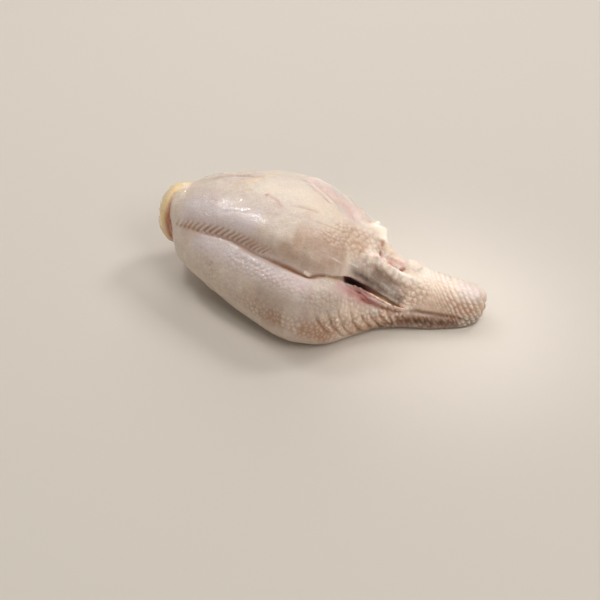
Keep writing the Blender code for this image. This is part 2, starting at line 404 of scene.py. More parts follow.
for tint, strength, width, line in WASHES:
    mark(line, width, fade=0.1, **{tint: strength})
for line in FAT_LINES:
    mark(line, 1.0, 0.55, fade=0.3, fat=0.7, amber=0.12)
# Painted shade in the creases.
for line in CREASES:
    mark(line, 1.2, -0.35, fade=0.35, brown=0.45)
mark(VEIN, 0.8, fade=0.3, flesh=0.85, blood=0.15)
dab(VEIN_SPOT, 1.6, 0.3, flesh=0.9, blood=0.25)
for width, line in WET_LINES:
    mark(line, width, fade=0.1, wet=1.0)
settle()

# The two lobes lie on either side of the keel, the breastbone's edge. The skin is drawn down to it in a
# crease, sharp where the lobes press together and fading to nothing at the tail. Its floor is darkened with
# painted shade. A scrap of white tissue lies over its far end.
KEEL = (
    (197, 231), (203, 232.5), (217, 236.5), (231, 241.5), (246, 250), (260, 256.5), (275, 262.5),
    (289, 268.5), (300, 273.5), (309, 277), (320, 276), (333, 276.5),
)
KEEL_LIP = (
    (214, 240), (232, 247), (246, 255.5), (260, 262), (275, 268), (289, 274), (300, 279), (310, 282.5),
    (322, 281.5),
)
SCRAP = ((303.5, 271.8), (306.5, 273.6), (310.5, 276.2))

mark(KEEL, 3.4, (0, -0.3, -0.7, -0.7), fade=0.1, lilac=0.3)
# Painted shade along the crease's floor.
mark(KEEL, 1.2, (0, -0.3, -0.8, -1.7, -2.0, -1.9), fade=0.08, hollow=(0, 0.2, 0.5, 1.0, 1.0, 0.8))
mark(KEEL_LIP, 3.0, 0.7, fade=0.3)
settle()
mark(SCRAP, 1.0, 0.9, pearl=0.9)

# Above the crease the feathers stood in one close row. Their empty pits show as round dots near the tail,
# and then as slanted dents side by side with soft ribs between them. The pits, the dents and the row's
# foot are darkened with painted shade.
DENTS_LOW = (
    (177, 224.3), (187, 227), (198, 230.5), (212, 234.4), (227, 238.6), (239, 243.4), (250, 249.4),
    (261, 254),
)
DENTS_HIGH = (
    (181, 219.5), (192.5, 221.3), (207, 224), (223.5, 227.3), (238.5, 232), (250.5, 237.5), (262, 243.5),
    (273, 248),
)
DENTS = 19
ROUND_PITS = 6
PIT_EASE = 0.6
BEND_AT = 0.4
BEND_BY = (-0.3, -0.5)
TRACT = ((180, 222.6), (200, 227), (232, 235.6), (264, 248.6))
TRACT_FOOT = ((190, 229.6), (205, 233.6), (222, 237.8), (236, 243), (250, 250.6), (262, 256.4))

lows, highs = smooth_through(DENTS_LOW, DENTS), smooth_through(DENTS_HIGH, DENTS)
for i, (low, high) in enumerate(zip(lows, highs)):
    ease = PIT_EASE if i < ROUND_PITS else 1.0
    furrow = (low, low + (high - low) * BEND_AT + BEND_BY, high)
    mark(furrow, 0.95, (-0.9 * ease, -0.75 * ease, -0.35), fade=0.12, hollow=(0.75 * ease, 0.5 * ease, 0.2))
    if i < ROUND_PITS:
        dab(low, 1.3, -0.6, hollow=0.8)
for low, high, next_low, next_high in zip(lows, highs, lows[1:], highs[1:]):
    mark(((low + next_low) / 2, (high + next_high) / 2), 0.9, 0.45, fade=0.25, pearl=0.25)
mark(TRACT, 5.0, fade=0.12, brown=0.75)
# Painted shade along the row's foot, beside the crease.
mark(TRACT_FOOT, 1.6, -0.4, brown=0.8, hollow=0.35)
settle()

# The tail fat is a waxy crescent that stands behind the end of the skin. A groove between them shows the
# orange tissue that joins them. The skin's end is a soft rolled edge. The fat's low end is tinted browner
# and more orange as painted shade.
TAIL_FAT = (
    (190, 181.5), (180, 185.4), (171, 191.5), (165, 200), (161.5, 211), (160.6, 221), (162, 230), (167, 239),
)
TAIL_LOW = ((159.4, 224), (161.6, 231), (165.6, 237.6), (170.4, 243.6))
AMBER_BAND = ((170, 202), (166.9, 211), (166.2, 218.4), (167.8, 226), (169.8, 234), (171.4, 241.5))
GAP_LINE = (
    (177.6, 190), (173.4, 194.4), (170.8, 199.4), (169, 205), (168.2, 211), (168.2, 217), (169.6, 223.4),
    (171, 230), (171.6, 237), (172.6, 243),
)
SKIN_END = (
    (188, 185), (180.4, 190.4), (175.4, 196.2), (172.4, 202.6), (171.2, 209), (171.4, 216), (173, 223),
    (174.4, 232), (175.4, 246),
)
FILLED_DIP = ((192, 181.4), (186, 183.6), (181, 187))
TAIL_PAD = (
    ((-111, 20, 60), (-108, 36, 60)),
    ((-120, 8, 50), (-123, 22, 52), (-118, 38, 50)),
    ((-120, 8, 38), (-124, 22, 40), (-120, 40, 38)),
    ((-112, 12, 26), (-118, 24, 26), (-114, 38, 26)),
)
TAIL_FOLDS = (
    ((-120, 6, 50), (-124, 17, 43), (-123, 30, 41), (-117, 43, 44)),
    ((-116, 10, 28), (-121, 20, 29), (-119, 33, 34)),
)
TAIL_LUMPS = ((-116, 34, 56), (-121, 12, 38), (-120, 30, 30), (-123, 26, 49))

mark(FILLED_DIP, 3.0, 0.9, fade=0.3)
mark(TAIL_FAT, (1.6, 2.4, 3.6, 4.4, 5.2, 5.2, 5.2, 5.2), fade=0.04, fat=1.0)
for line in TAIL_PAD:
    mark(line, 7.0, fade=0.1, fat=0.95)
mark(SKIN_END, 1.8, 0.9)
settle()
for line in TAIL_FOLDS:
    mark(line, 2.2, -1.0, fade=0.35, amber=0.25)
for place in TAIL_LUMPS:
    touch(on_skin(place), 6.0, 0.4)
# Painted shade: the low end of the fat is tinted browner and more orange.
mark(TAIL_LOW, 3.2, fade=0.15, brown=0.8, amber=0.45)
mark(AMBER_BAND, 1.9, -0.4, fade=0.15, amber=(0.3, 0.5, 0.8, 1.0, 0.9))
mark(GAP_LINE, 1.1, -1.0, fade=0.1, amber=(0.2, 0.4, 0.7, 0.95, 1.0, 1.0),
     blood=(0, 0, 0, 0.1, 0.2, 0.15))
settle()

# Towards the neck the skin of the high lobe is drawn into folds. A bumpy ridge comes down from the
# shoulder, painted pale, partly as a painted highlight. In front of it lies a smooth trough where the skin
# is stretched thin over the tear, grey brown partly of itself and partly as painted shade. Tendons show
# through as fine pale lines. The ridge's foot and the dips between its bumps are darkened with painted
# shade.
RIDGE = (
    (365, 254.5), (371, 256), (378, 258.5), (384, 262.5), (390, 268), (397.5, 273.6), (405, 277.4),
    (413, 279.6),
)
RIDGE_FOOT = ((370.5, 267.5), (377, 272), (386, 278.6), (393, 282.4), (400, 285.6), (408, 289))
RIDGE_BUMPS = (
    (367.5, 255.8), (373.4, 256.4), (378.8, 258.2), (383.6, 261.4), (387.6, 265), (391.4, 268.8),
    (396, 272.2), (401.6, 275.8), (407.6, 278), (413, 279.8),
)
FOOT_BUMPS = (
    (372.5, 262.6), (377.6, 264.6), (383.4, 269), (388.6, 273.8), (394.2, 278.4), (400.4, 281.8),
    (406.6, 284.2),
)
DIP_BELOW = 0.6
TROUGH = (
    (346, 265.5), (354, 270.5), (362, 275), (372, 281), (382, 287), (392, 294), (400, 300), (406, 304.5),
)
TROUGH_EDGE = ((350, 272), (360, 278.5), (372, 286), (384, 293), (394, 299))
TROUGH_MIDDLE = ((368, 271), (378, 277), (389, 285), (399, 293))
TENDONS = (
    ((330, 257), (336.5, 260.6), (343.5, 264.8)),
    ((345.6, 260.6), (354.7, 265.5), (359.6, 268.3)),
)

mark(TROUGH_EDGE, 4.6, fade=0.15, grey=0.75)
mark(TROUGH_MIDDLE, 5.0, grey=0.75)
mark(TROUGH, 6.0, (-0.2, -0.8, -1.3, -1.5, -1.5, -1.3, -0.8, -0.2), fade=0.15,
     grey=(0.3, 0.7, 0.95, 1, 0.9, 0.8, 0.8, 0.5))
mark(RIDGE, 4.2, (0.8, 1.6, 2.1, 2.2, 1.9, 1.3, 0.5), fade=0.08, cream=1.0, pearl=0.55)
settle()
# Painted shade along the ridge's foot.
mark(RIDGE_FOOT, 2.6, -0.6, brown=0.55)
for pixel in RIDGE_BUMPS:
    dab(pixel, 2.0, 1.8, pearl=0.3)
for pixel in FOOT_BUMPS:
    dab(pixel, 2.0, 1.5, pearl=0.3)
# Painted shade in the dips between the bumps.
for (x, y), (next_x, next_y) in zip(RIDGE_BUMPS, RIDGE_BUMPS[1:]):
    dab(((x + next_x) / 2, (y + next_y) / 2 + DIP_BELOW), 1.1, -0.7, hollow=0.3)
for tendon in TENDONS:
    mark(tendon, 0.6, 0.4, fade=0.35, pearl=0.5)
settle()

# Behind the ridge the wing was cut away, which left a pink cut down to a hole darkened with painted shade,
# a pale flap and a small knob of fat. Two pads of cream fat swell out on either side of the cut, and four
# lumps stand along the outline above. A crease and a spot below the pads are darkened with painted shade.
SHOULDER_CUT = (
    (378.6, 254), (380.4, 251), (382.1, 257), (385.4, 260.4), (389.7, 262.6), (392.8, 265.6),
    (398.4, 268.6),
)
CUT_HOLE = (401.4, 270)
CUT_SPOT = (403.8, 268.8)
CUT_FLAP = ((384.4, 253.2), (389, 256.4), (395, 259), (401, 262), (405, 264.6))
FLAP_BUMPS = (0.15, 0.4, 0.6, 0.85)
FLAP_SPOT = (391.3, 258.4)
SHOULDER_PAD = ((374, 223.4), (379, 226), (383, 231), (384.4, 237), (382.6, 243))
PAD_CREASE = ((384.3, 238.4), (383.2, 243), (381.8, 247.8))
SMALL_LOBE = (387, 246.4)
KNOB = (390.4, 252.2)
NECK_PAD = ((408, 263), (412, 263.4), (417, 266), (420, 270))
PAD_SHADE = (406.6, 272.4)
OUTLINE_LUMPS = ((349.4, 199.6), (363.4, 208.8), (378.6, 221.6), (386, 231.4))

for lump in OUTLINE_LUMPS:
    dab(lump, 3.4, 1.6)
mark(SHOULDER_PAD, 4.6, 1.7, fade=0.1, fat=0.5, pearl=0.92)
mark(NECK_PAD, 4.6, 0.9, fade=0.1, cream=1.0, pearl=0.35)
dab(SMALL_LOBE, 2.4, 1.6, fat=0.7, pearl=0.4)
dab(KNOB, 2.4, 2.4, fat=0.6, pearl=0.5)
settle()
# Painted shade in the crease below the shoulder pad.
mark(PAD_CREASE, 1.3, -0.6, fade=0.25, amber=0.5, brown=0.4)
mark(CUT_FLAP, 1.9, 1.1, fade=0.15, flesh=0.55, pearl=0.55)
for share in FLAP_BUMPS:
    dab(CUT_FLAP[0] + (np.array(CUT_FLAP[-1]) - CUT_FLAP[0]) * share, 1.2, 0.7, pearl=0.5)
mark(SHOULDER_CUT[1:], 1.6, -1.3, fade=0.08, flesh=1.0, blood=(0.3, 0.45, 0.4, 0.2, 0.2, 0.3))
mark(SHOULDER_CUT, 0.8, -0.5, blood=0.6)
dab(FLAP_SPOT, 1.0, blood=0.4)
# Painted shade inside the cut's hole and in the spot beside it.
dab(CUT_HOLE, 1.5, -1.8, blood=0.9, flesh=1.0, gore=0.4)
dab(CUT_SPOT, 1.2, -0.9, amber=0.8, gore=0.25)
dab(PAD_SHADE, 1.8, -0.2, amber=0.4)
settle()

# The skin's edge along the wing's place is a fine white line that runs down the far side of the high
# lobe. Past it the flesh is bare: a pale pink, with lilac membrane along both of its edges. The groove
# beside the edge is darkened with painted shade.
WING_EDGE = (
    (305.6, 180.6), (308.4, 181.4), (313.6, 186), (319.2, 190.8), (327.5, 198), (335.8, 205.2),
    (342, 209.6), (349.8, 217.3), (355.6, 224.3),
)
WING_RIM = ((307.8, 180.4), (311, 182.2), (315.4, 186), (320, 190))
WING_LINE = ((307.8, 183.2), (313, 188), (318, 192.6), (326.4, 199.8), (334.4, 206.6))
WING_GROOVE = ((311, 181.2), (319, 187.2), (325, 192), (330, 195.6), (336, 200))
WING_MEMBRANE = ((336.5, 202.6), (344, 208.4), (351.6, 214.6), (358.8, 221))
WING_FLESH = ((318, 184), (326, 190), (334, 197), (345, 202.4), (356, 210), (366, 217.6), (370, 223))
WING_SPOTS = (
    # where, half width, strength
    ((305.4, 181.4), 1.5, 0.8), ((321.6, 187.4), 2.6, 0.5), ((327.8, 191.8), 1.4, 0.7),
    ((370.3, 222.2), 2.4, 0.7),
)
WING_FAR = 24.0
WING_OUTWARD = (0.25, 0.9, -0.55)
WING_ROUNDNESS = 0.7
WING_ROWS = (
    # how far across, tint, strength
    (0.2, "lilac", 0.5), (0.4, "flesh", 0.35), (0.6, "flesh", 0.4), (0.8, "lilac", 0.5),
)
FAR_EDGE_SHOWN = 0.8

near_edge = path_of(WING_EDGE)
swell = np.sin(np.linspace(0, math.pi, len(near_edge)))[:, None] ** WING_ROUNDNESS
far_edge = np.array([on_skin(place) for place in near_edge + np.array(WING_OUTWARD) * WING_FAR * swell])
for part, tint, strength in WING_ROWS:
    row = np.array([on_skin(place) for place in near_edge + (far_edge - near_edge) * part])
    stroke(row, 3.4, -0.5, fade=0.1, **{tint: strength})
settle()
stroke(far_edge[: round(FAR_EDGE_SHOWN * len(far_edge))], 1.2, 0.8, pearl=0.5)
# Painted shade in the groove.
mark(WING_GROOVE, 1.1, -0.7, brown=0.35, lilac=0.5)
mark(WING_FLESH, 3.0, fade=0.1, flesh=0.35, amber=0.14, pearl=0.3)
mark(WING_MEMBRANE, 2.0, lilac=0.8)
settle()
mark(WING_EDGE, 0.9, (0.9, 0.9, 0.9, 0.8, 0.6, 0.4), fade=0.1, pearl=(0.7, 0.6, 0.5, 0.3, 0.1))
mark(WING_RIM, 1.2, 0.4, pearl=0.7)
mark(WING_LINE, 0.8, -0.4, amber=0.45)
for spot, width, strength in WING_SPOTS:
    dab(spot, width, amber=strength)
settle()

# The tear's near edge is the low lobe's skin, flushed pink and bruised crimson where it was pulled. Past
# it a wedge of bone shows, and the pocket behind is deep. Its inside, the recess towards the neck and the
# skin just under the membrane's torn edge are darkened with painted shade.
FLUSH = ((332, 281.6), (341, 285.6), (352, 290.6), (364, 297), (376, 303.5))
BRUISES = (
    (((351.4, 290), (359.1, 293.5), (366.1, 297.7), (371, 301.6), (377, 304.4)), 1.5, 0.9),
    (((345, 298.2), (354.9, 296.4), (360.5, 300.6), (366.1, 302)), 1.2, 0.4),
    (((352, 289.2), (356, 291.2), (361, 293.8), (367, 297.4), (374, 301.4), (382, 305.6)), 1.9, 1),
    (((357, 295), (363, 299), (369, 302.6), (376, 305.8)), 2, 0.95),
    (((364, 297.5), (370, 300.6), (377, 304), (385, 307)), 2.4, 0.8),
)
BEHIND_LIP = ((347, 286), (353, 288.6), (359, 291.6), (365, 294.8), (372, 299), (380, 303))
BONE = ((327, 277.2), (335, 278.2), (343.5, 279.2))
POCKET_SHARES = (0, 0, 0, 0.7, 1, 1, 0.8, 0.3, 0.15, 0, 0, 0, 0)
RECESS = ((370, 291.4), (377, 295), (384, 299), (392, 303.4), (401, 307.6))
RECESS_SPOT = ((387.2, 302.8), (392.8, 304.6))
POCKET_REACH = 14.0
GORE_FROM, GORE_OVER = 0.5, 1.2
RIM_FROM, RIM_OVER = 0.05, 0.3
RIM_WIDER = 2
RIM_BLOOD = 0.6
LIP_SHADE = ((364, 299), (372, 303.4), (380, 306.8), (388, 309.8), (396, 312.2), (403, 313.4))
LIP_TIP = ((404.6, 310), (406.4, 307.6), (407.5, 305.4))
UPPER_LIP = (
    (346.5, 275), (353, 277), (359.1, 280.2), (366, 284.8), (373.2, 289.2), (382, 294.2),
    (390.7, 298.6), (402.6, 304),
)

mark(FLUSH, 4.6, flesh=(0.3, 0.5, 0.7, 0.8, 0.3), lilac=(0.6, 0.8, 0.6, 0.3, 0.1),
     blood=(0, 0.1, 0.5, 0.7, 0.35))
for line, width, strength in BRUISES:
    mark(line, width, -0.35, fade=0.35, blood=strength)
mark(BEHIND_LIP, 2.6, fade=0.1, flesh=0.7, lilac=0.7)
mark(BONE, 1.6, fade=0.1, bone=1.0)
# Painted shade in the recess.
mark(RECESS, 1.9, fade=0.1, bone=0.8, brown=0.8, hollow=0.6)
mark(RECESS_SPOT, 1.0, -0.6, fade=0.1, gore=0.5)
mark(UPPER_LIP, 0.9, 0.3, fade=0.1, pearl=0.15)
tear_middle = np.array([(seen_at(one) + seen_at(other)) / 2 for one, other in zip(TEAR_UPPER, TEAR_LOWER)])
chosen, _, share = near(tear_middle, POCKET_REACH)
shares = along(POCKET_SHARES, share)
# Painted shade: the deeper inside the pocket, the darker.
deepen("gore", chosen, np.clip((depth_in[chosen] - GORE_FROM) / GORE_OVER, 0, 1) * shares)
rim = np.clip((depth_in[chosen] - RIM_FROM) / RIM_OVER, 0, 1) * np.clip(shares * RIM_WIDER, 0, 1)
deepen("flesh", chosen, rim)
deepen("blood", chosen, RIM_BLOOD * rim)
settle()
# Painted shade, brown and crimson, on the skin under the membrane's edge.
mark(LIP_SHADE, 1.6, -1.2, fade=0.15, brown=0.8, umber=0.3, blood=(0.9, 0.8, 0.5, 0.2, 0))
mark(LIP_TIP, 1.1, 0.9, pearl=0.8)
settle()

# Round its shoulder the low lobe's skin is gathered in wrinkles: furrows, darkened with painted shade, that
# run down and under, 5 to 9 mm apart and closest by the neck, with a beaded column between each two. The
# underside there is drawn in. A crease and a fold lie near the tail, their sunk lines darkened with painted
# shade.
WRINKLES = (
    ((314, 315.4), (317.5, 321), (322, 327), (328, 333.5)),
    ((326.5, 310.8), (328.5, 317), (331, 323), (334, 328), (338, 332.5), (343, 336.5)),
    ((338, 309), (340, 317), (343.5, 327), (346.5, 331), (351, 334)),
    ((350.4, 309), (351.5, 316), (353.5, 323), (357, 328), (362, 331.5)),
    ((360.4, 312.3), (362.7, 319), (368.8, 326), (373, 329)),
    ((368.8, 310.8), (372, 318.5), (376, 322.5), (381, 326.5)),
    ((378, 308.5), (380.4, 316), (385.8, 323.8)),
    ((386.5, 310), (388, 316), (392, 322.5)),
    ((393.5, 311.8), (396.5, 318.5), (399, 322)),
    ((400.5, 314), (403, 319), (405, 322.5)),
)
FURROW_POINTS = 14
COLUMN_HEIGHT = 1.1
BEAD_HEIGHT = 0.7
BEADS_APART = 4.0
POINTS_PER_BEAD = 6
UNDERSIDE = ((360, 337.5), (368, 335), (380, 332.5), (392, 331.5), (406, 330.5), (420, 330))
FOLD_SHADE = 0.3
SMALL_FOLDS = (
    # along, half width, height
    (((207.4, 267.4), (210.4, 264.4), (213.4, 261.4)), 0.9, -0.6),
    (((206, 283), (210, 287), (215, 291)), 1.6, -0.8),
    (((204, 287), (207, 289.5), (211, 293.5)), 1.6, 0.5),
)

mark(UNDERSIDE, 5.0, -2.0, fade=0.3)
settle()
# Painted shade in the furrows.
for wrinkle in WRINKLES:
    mark(wrinkle, (1.0, 1.2, 1.2, 1.2), (-0.3, -1.1, -1.5, -1.5, -1.4, -1.0), fade=0,
         hollow=(0.15, 0.5, 0.6, 0.6, 0.5))
for left, right in zip(WRINKLES, WRINKLES[1:]):
    middle = (smooth_through(left, FURROW_POINTS) + smooth_through(right, FURROW_POINTS)) / 2
    beads = max(2, round(math.dist(middle[0], middle[-1]) / BEADS_APART))
    waves = 2 * math.pi * beads * np.linspace(0, 1, POINTS_PER_BEAD * beads)
    mark(middle, 2.4, COLUMN_HEIGHT - BEAD_HEIGHT * np.cos(waves), fade=0.25, cream=0.5)
# Painted shade along the sunk folds.
for line, width, height in SMALL_FOLDS:
    mark(line, width, height, fade=0.3, hollow=FOLD_SHADE if height < 0 else 0.0)
settle()

# The neck skin is gathered in leaning rings like a sleeve pushed back, cobbled with the pits' little mounds.
# They fade out towards the breast and are flatter on top of the tip. The valleys and crevices between them
# are darkened with painted shade. A band of beads runs along the underside, painted dark as painted shade
# with their tops left paler, and a seam runs along the near side, also darkened with painted shade. The
# tip is tinted lilac and greyed, the grey partly painted shade.
RING_LEAN = (1, 0.33, 0.53)
RING_CRESTS = (
    *[41.3 + 3.4 * i for i in range(13)],
    85.0, 87.4, 89.8, 92.2, 94.7, 97.2, 99.6, 102.0, 104.5, 108.1, 112.0, 116.1, 120.0, 123.8, 128.6, 133.0,
)
RING_HEIGHTS = (*[0] * 16, 0.05, 0.1, 0.2, 0.35, 0.5, 0.7, 0.85, 1, 1.05, 1, 0.9, 0.7, 0)
RING_WANDER, RING_NOISE = 0.9, (9.0, 1)
RING_LEVEL = 0.6
RING_RISE = (0.6, 0.4)
VALLEY_SHADE = (0.5, 0.35)
LOW_TURN, LOW_SHARPNESS, LOW_WIDENING = -2.1, 4, 0.25
LOW_BAND_TOP, LOW_BAND_BLEND = 14.0, 4
LOW_BAND_START, LOW_BAND_EASE = 47, 8
LOW_BAND_HEIGHT = 1.3
LOW_BAND_UNRINGED = 0.75
NECK_START = 45
NECK_AXIS = ((50, -4, 24), (75, -3, 19), (95, 0, 16), (124, 2, 13))
NECK_RADIUS = 15.0
BEAD_PITCH = 3.2
BEAD_ALONG, BEAD_ROUND = 0.22, 1.2
BEAD_HEIGHTS = (0.7, 1.1)
BEAD_GROWTH = 1.6
BEAD_RISE = (0.35, 0.65)
BEAD_BAND_RISE = 0.4
BEAD_LEVEL = 0.5
BEAD_TOP_CLEAR = 0.35
CREVICE_SHADE = (0.35, 0.5)
CREVICE_UMBER = 0.9
SEAM = ((410.7, 308.4), (422, 312.4), (433.7, 314), (445, 316.4), (456.7, 318.7), (463, 320.4))
NECK_TIP = ((458, 286), (466, 288.4), (474, 291.4), (482, 294.6))
TIP_RIM = ((486.6, 287), (487.4, 291), (485.4, 296), (482.6, 302))
TIP_SMOOTH = (108, 3, 32)
TIP_SMOOTH_REACH = 15.0
TIP_FLATTENED = 0.7
COBBLE_EDGE, COBBLE_REACH = 0.5, 0.62
COBBLE_FLAT, COBBLE_ROUND = 0.4, 0.6
LEAST_GAP = 1e-6

draw = np.random.default_rng(7)


def wander(places, size, seed):
    """Smooth noise from -1 to 1 at each place, with features of this size in millimetres."""
    shift = Vector((seed * 17.3, seed * 5.1, seed * 9.7))
    return np.array([noise.noise(Vector(place) / size + shift) for place in places])


def cobbles(places, centres, spacing):
    """Which cobble each place is on, and how high on it: 0 in the crevice round it, 1 over its middle."""
    tree = KDTree(len(centres))
    for i, centre in enumerate(centres):
        tree.insert(centre, i)
    tree.balance()
    owner = np.empty(len(places), int)
    border = np.empty(len(places))
    middle_off = np.empty(len(places))
    for i, place in enumerate(places):
        (first, owner[i], near_gap), (second, _, far_gap) = tree.find_n(place, 2)
        border[i] = (far_gap**2 - near_gap**2) / (2 * (second - first).length + LEAST_GAP)
        middle_off[i] = near_gap
    t = np.clip(border / (COBBLE_EDGE * spacing[owner]), 0, 1)
    r = np.clip(middle_off / (COBBLE_REACH * spacing[owner]), 0, 1)
    return owner, COBBLE_FLAT * (1 - (1 - t) ** 2) + COBBLE_ROUND * (1 - r * r) ** 1.3


def more_below(above, more):
    """A strength round the neck: this much above, and this much more below."""
    return above + more * below


on_neck = np.flatnonzero(points[:, 0] > NECK_START)
neck = points[on_neck]
ring_at = neck @ np.array(RING_LEAN) + RING_WANDER * wander(neck, *RING_NOISE)
axis_x, axis_y, axis_z = zip(*NECK_AXIS)
middle_y = np.interp(neck[:, 0], axis_x, axis_y)
middle_z = np.interp(neck[:, 0], axis_x, axis_z)
turned = np.arctan2(neck[:, 2] - middle_z, neck[:, 1] - middle_y)
below = 1 / (1 + np.exp(-LOW_SHARPNESS * (np.cos(turned - LOW_TURN) + LOW_WIDENING)))
phase = np.interp(ring_at, RING_CRESTS, range(len(RING_CRESTS)))
low_band = np.clip((LOW_BAND_TOP - neck[:, 2]) / LOW_BAND_BLEND, 0, 1)
low_band *= np.clip((neck[:, 0] - LOW_BAND_START) / LOW_BAND_EASE, 0, 1)
ring_height = np.maximum(np.interp(ring_at, RING_CRESTS, RING_HEIGHTS), low_band * LOW_BAND_HEIGHT)
tip_off = np.linalg.norm(neck - np.array(TIP_SMOOTH), axis=1)
ring_height *= 1 - TIP_FLATTENED * bell(tip_off, TIP_SMOOTH_REACH)
crest = 0.5 + 0.5 * np.cos(2 * math.pi * phase)
bead_count = round(2 * math.pi * NECK_RADIUS / BEAD_PITCH)
rows = np.repeat(np.arange(len(RING_CRESTS)), bead_count)
turns = np.tile(np.arange(bead_count), len(RING_CRESTS)) + 0.5 * (rows % 2)
centres = np.column_stack([
    np.interp(rows + draw.uniform(-BEAD_ALONG, BEAD_ALONG, len(rows)), range(len(RING_CRESTS)), RING_CRESTS),
    (turns / bead_count * 2 * math.pi - math.pi) * NECK_RADIUS
    + draw.uniform(-BEAD_ROUND, BEAD_ROUND, len(rows)),
    np.zeros(len(rows)),
])
places = np.column_stack([ring_at, turned * NECK_RADIUS, np.zeros(len(neck))])
owner, dome = cobbles(places, centres, np.full(len(centres), BEAD_PITCH))
beaded = np.clip(ring_height * BEAD_GROWTH, 0, 1)
bead_height = draw.uniform(*BEAD_HEIGHTS, len(centres))[owner] * beaded
ring_share = 1 - LOW_BAND_UNRINGED * low_band
ring_rise = ring_height * more_below(*RING_RISE) * (crest - RING_LEVEL) * ring_share
bead_share = more_below(*BEAD_RISE) + BEAD_BAND_RISE * low_band
lift[on_neck] += ring_rise + bead_height * bead_share * (dome - BEAD_LEVEL)
# Painted shade in the valleys between rings and the crevices between beads.
crevice = np.clip(ring_height, 0, 1) * np.maximum(
    more_below(*VALLEY_SHADE) * (1 - crest) ** 2 * ring_share, more_below(*CREVICE_SHADE) * (1 - dome)
)
deepen("hollow", on_neck, crevice * (1 - low_band))
deepen("umber", on_neck, np.clip(CREVICE_UMBER * crevice, 0, 1) * low_band)
# The bead tops in the underside band are left paler than its painted shade.
for name in ("brown", "umber"):
    stains[name][on_neck] *= 1 - BEAD_TOP_CLEAR * low_band * dome**1.5
settle()

# Painted shade along the seam.
mark(SEAM, 1.7, -1.3, fade=0.15, brown=0.9, umber=0.25)
# The tip's grey is partly painted shade.
mark(NECK_TIP, 6.5, fade=0.1, lilac=0.95, grey=0.4)
mark(TIP_RIM, 2.0, fade=0.1, flesh=0.5)
settle()

# The far side is whole skin as well, and looser: it hangs in long soft folds from the wing's place down to
# the tail, with fat showing pale above, and is browner low down. The folds are darkened in their troughs
# with painted shade and paler along their crests. The neck skin ends in a puckered hole, darkened with
# painted shade.
FAR_WASHES = (
    ("cream", 0.6, 15, ((-60, 42, 60), (-20, 56, 50), (20, 60, 38))),
    ("lilac", 0.5, 12, ((-95, 30, 40), (-60, 52, 30), (-10, 68, 22))),
    ("brown", 0.4, 9, ((-80, 40, 8), (-20, 64, 8), (40, 50, 8), (80, 28, 8))),
    ("cream", 0.5, 10, ((50, 40, 30), (80, 24, 26), (105, 18, 22))),
    ("flesh", 0.3, 8, ((10, 64, 22), (35, 56, 20), (55, 44, 16))),
)
FAR_FOLDS = (
    ((22, 52, 44), (-8, 64, 36), (-40, 62, 34), (-75, 48, 36)),
    ((30, 54, 30), (0, 68, 22), (-35, 68, 20), (-70, 54, 20)),
    ((34, 52, 18), (10, 66, 11), (-20, 70, 10)),
    ((-40, 30, 70), (-65, 34, 58), (-90, 30, 44)),
    ((48, 42, 26), (70, 30, 22), (92, 22, 18)),
    ((46, 44, 14), (68, 32, 11), (90, 24, 9)),
)
NECK_HOLE = (123.5, 1, 11.5)
NECK_PUCKERS = 11
PUCKER_JITTER = 0.2
PUCKER_FROM, PUCKER_REACHES, PUCKER_POINTS = 1.5, (5, 8), 10
FOLD_CREST_ABOVE = (0, 0, 4.5)

hole = on_skin(NECK_HOLE)
# Painted shade in the hole and between its puckers.
touch(hole, 2.4, -2.2, flesh=0.8, blood=0.4, hollow=0.5)
for i in range(NECK_PUCKERS):
    turn = 2 * math.pi * (i + draw.uniform(-PUCKER_JITTER, PUCKER_JITTER)) / NECK_PUCKERS
    across = np.array([0.0, math.cos(turn), math.sin(turn)])
    reaches = np.linspace(PUCKER_FROM, draw.uniform(*PUCKER_REACHES), PUCKER_POINTS)
    pucker = np.array([on_skin(hole + across * reach) for reach in reaches])
    stroke(pucker, 0.9, (-0.9, -0.6, -0.1), fade=0.05, hollow=(0.6, 0.4, 0.1), flesh=0.3)
for tint, strength, width, line in FAR_WASHES:
    mark(line, width, fade=0.15, **{tint: strength})
# Painted shade in each fold's trough.
for line in FAR_FOLDS:
    path = path_of(line)
    stroke(path, 2.0, -1.1, fade=0.3, hollow=0.35)
    stroke(path + FOLD_CREST_ABOVE, 3.2, 0.7, fade=0.3, cream=0.3)
settle()

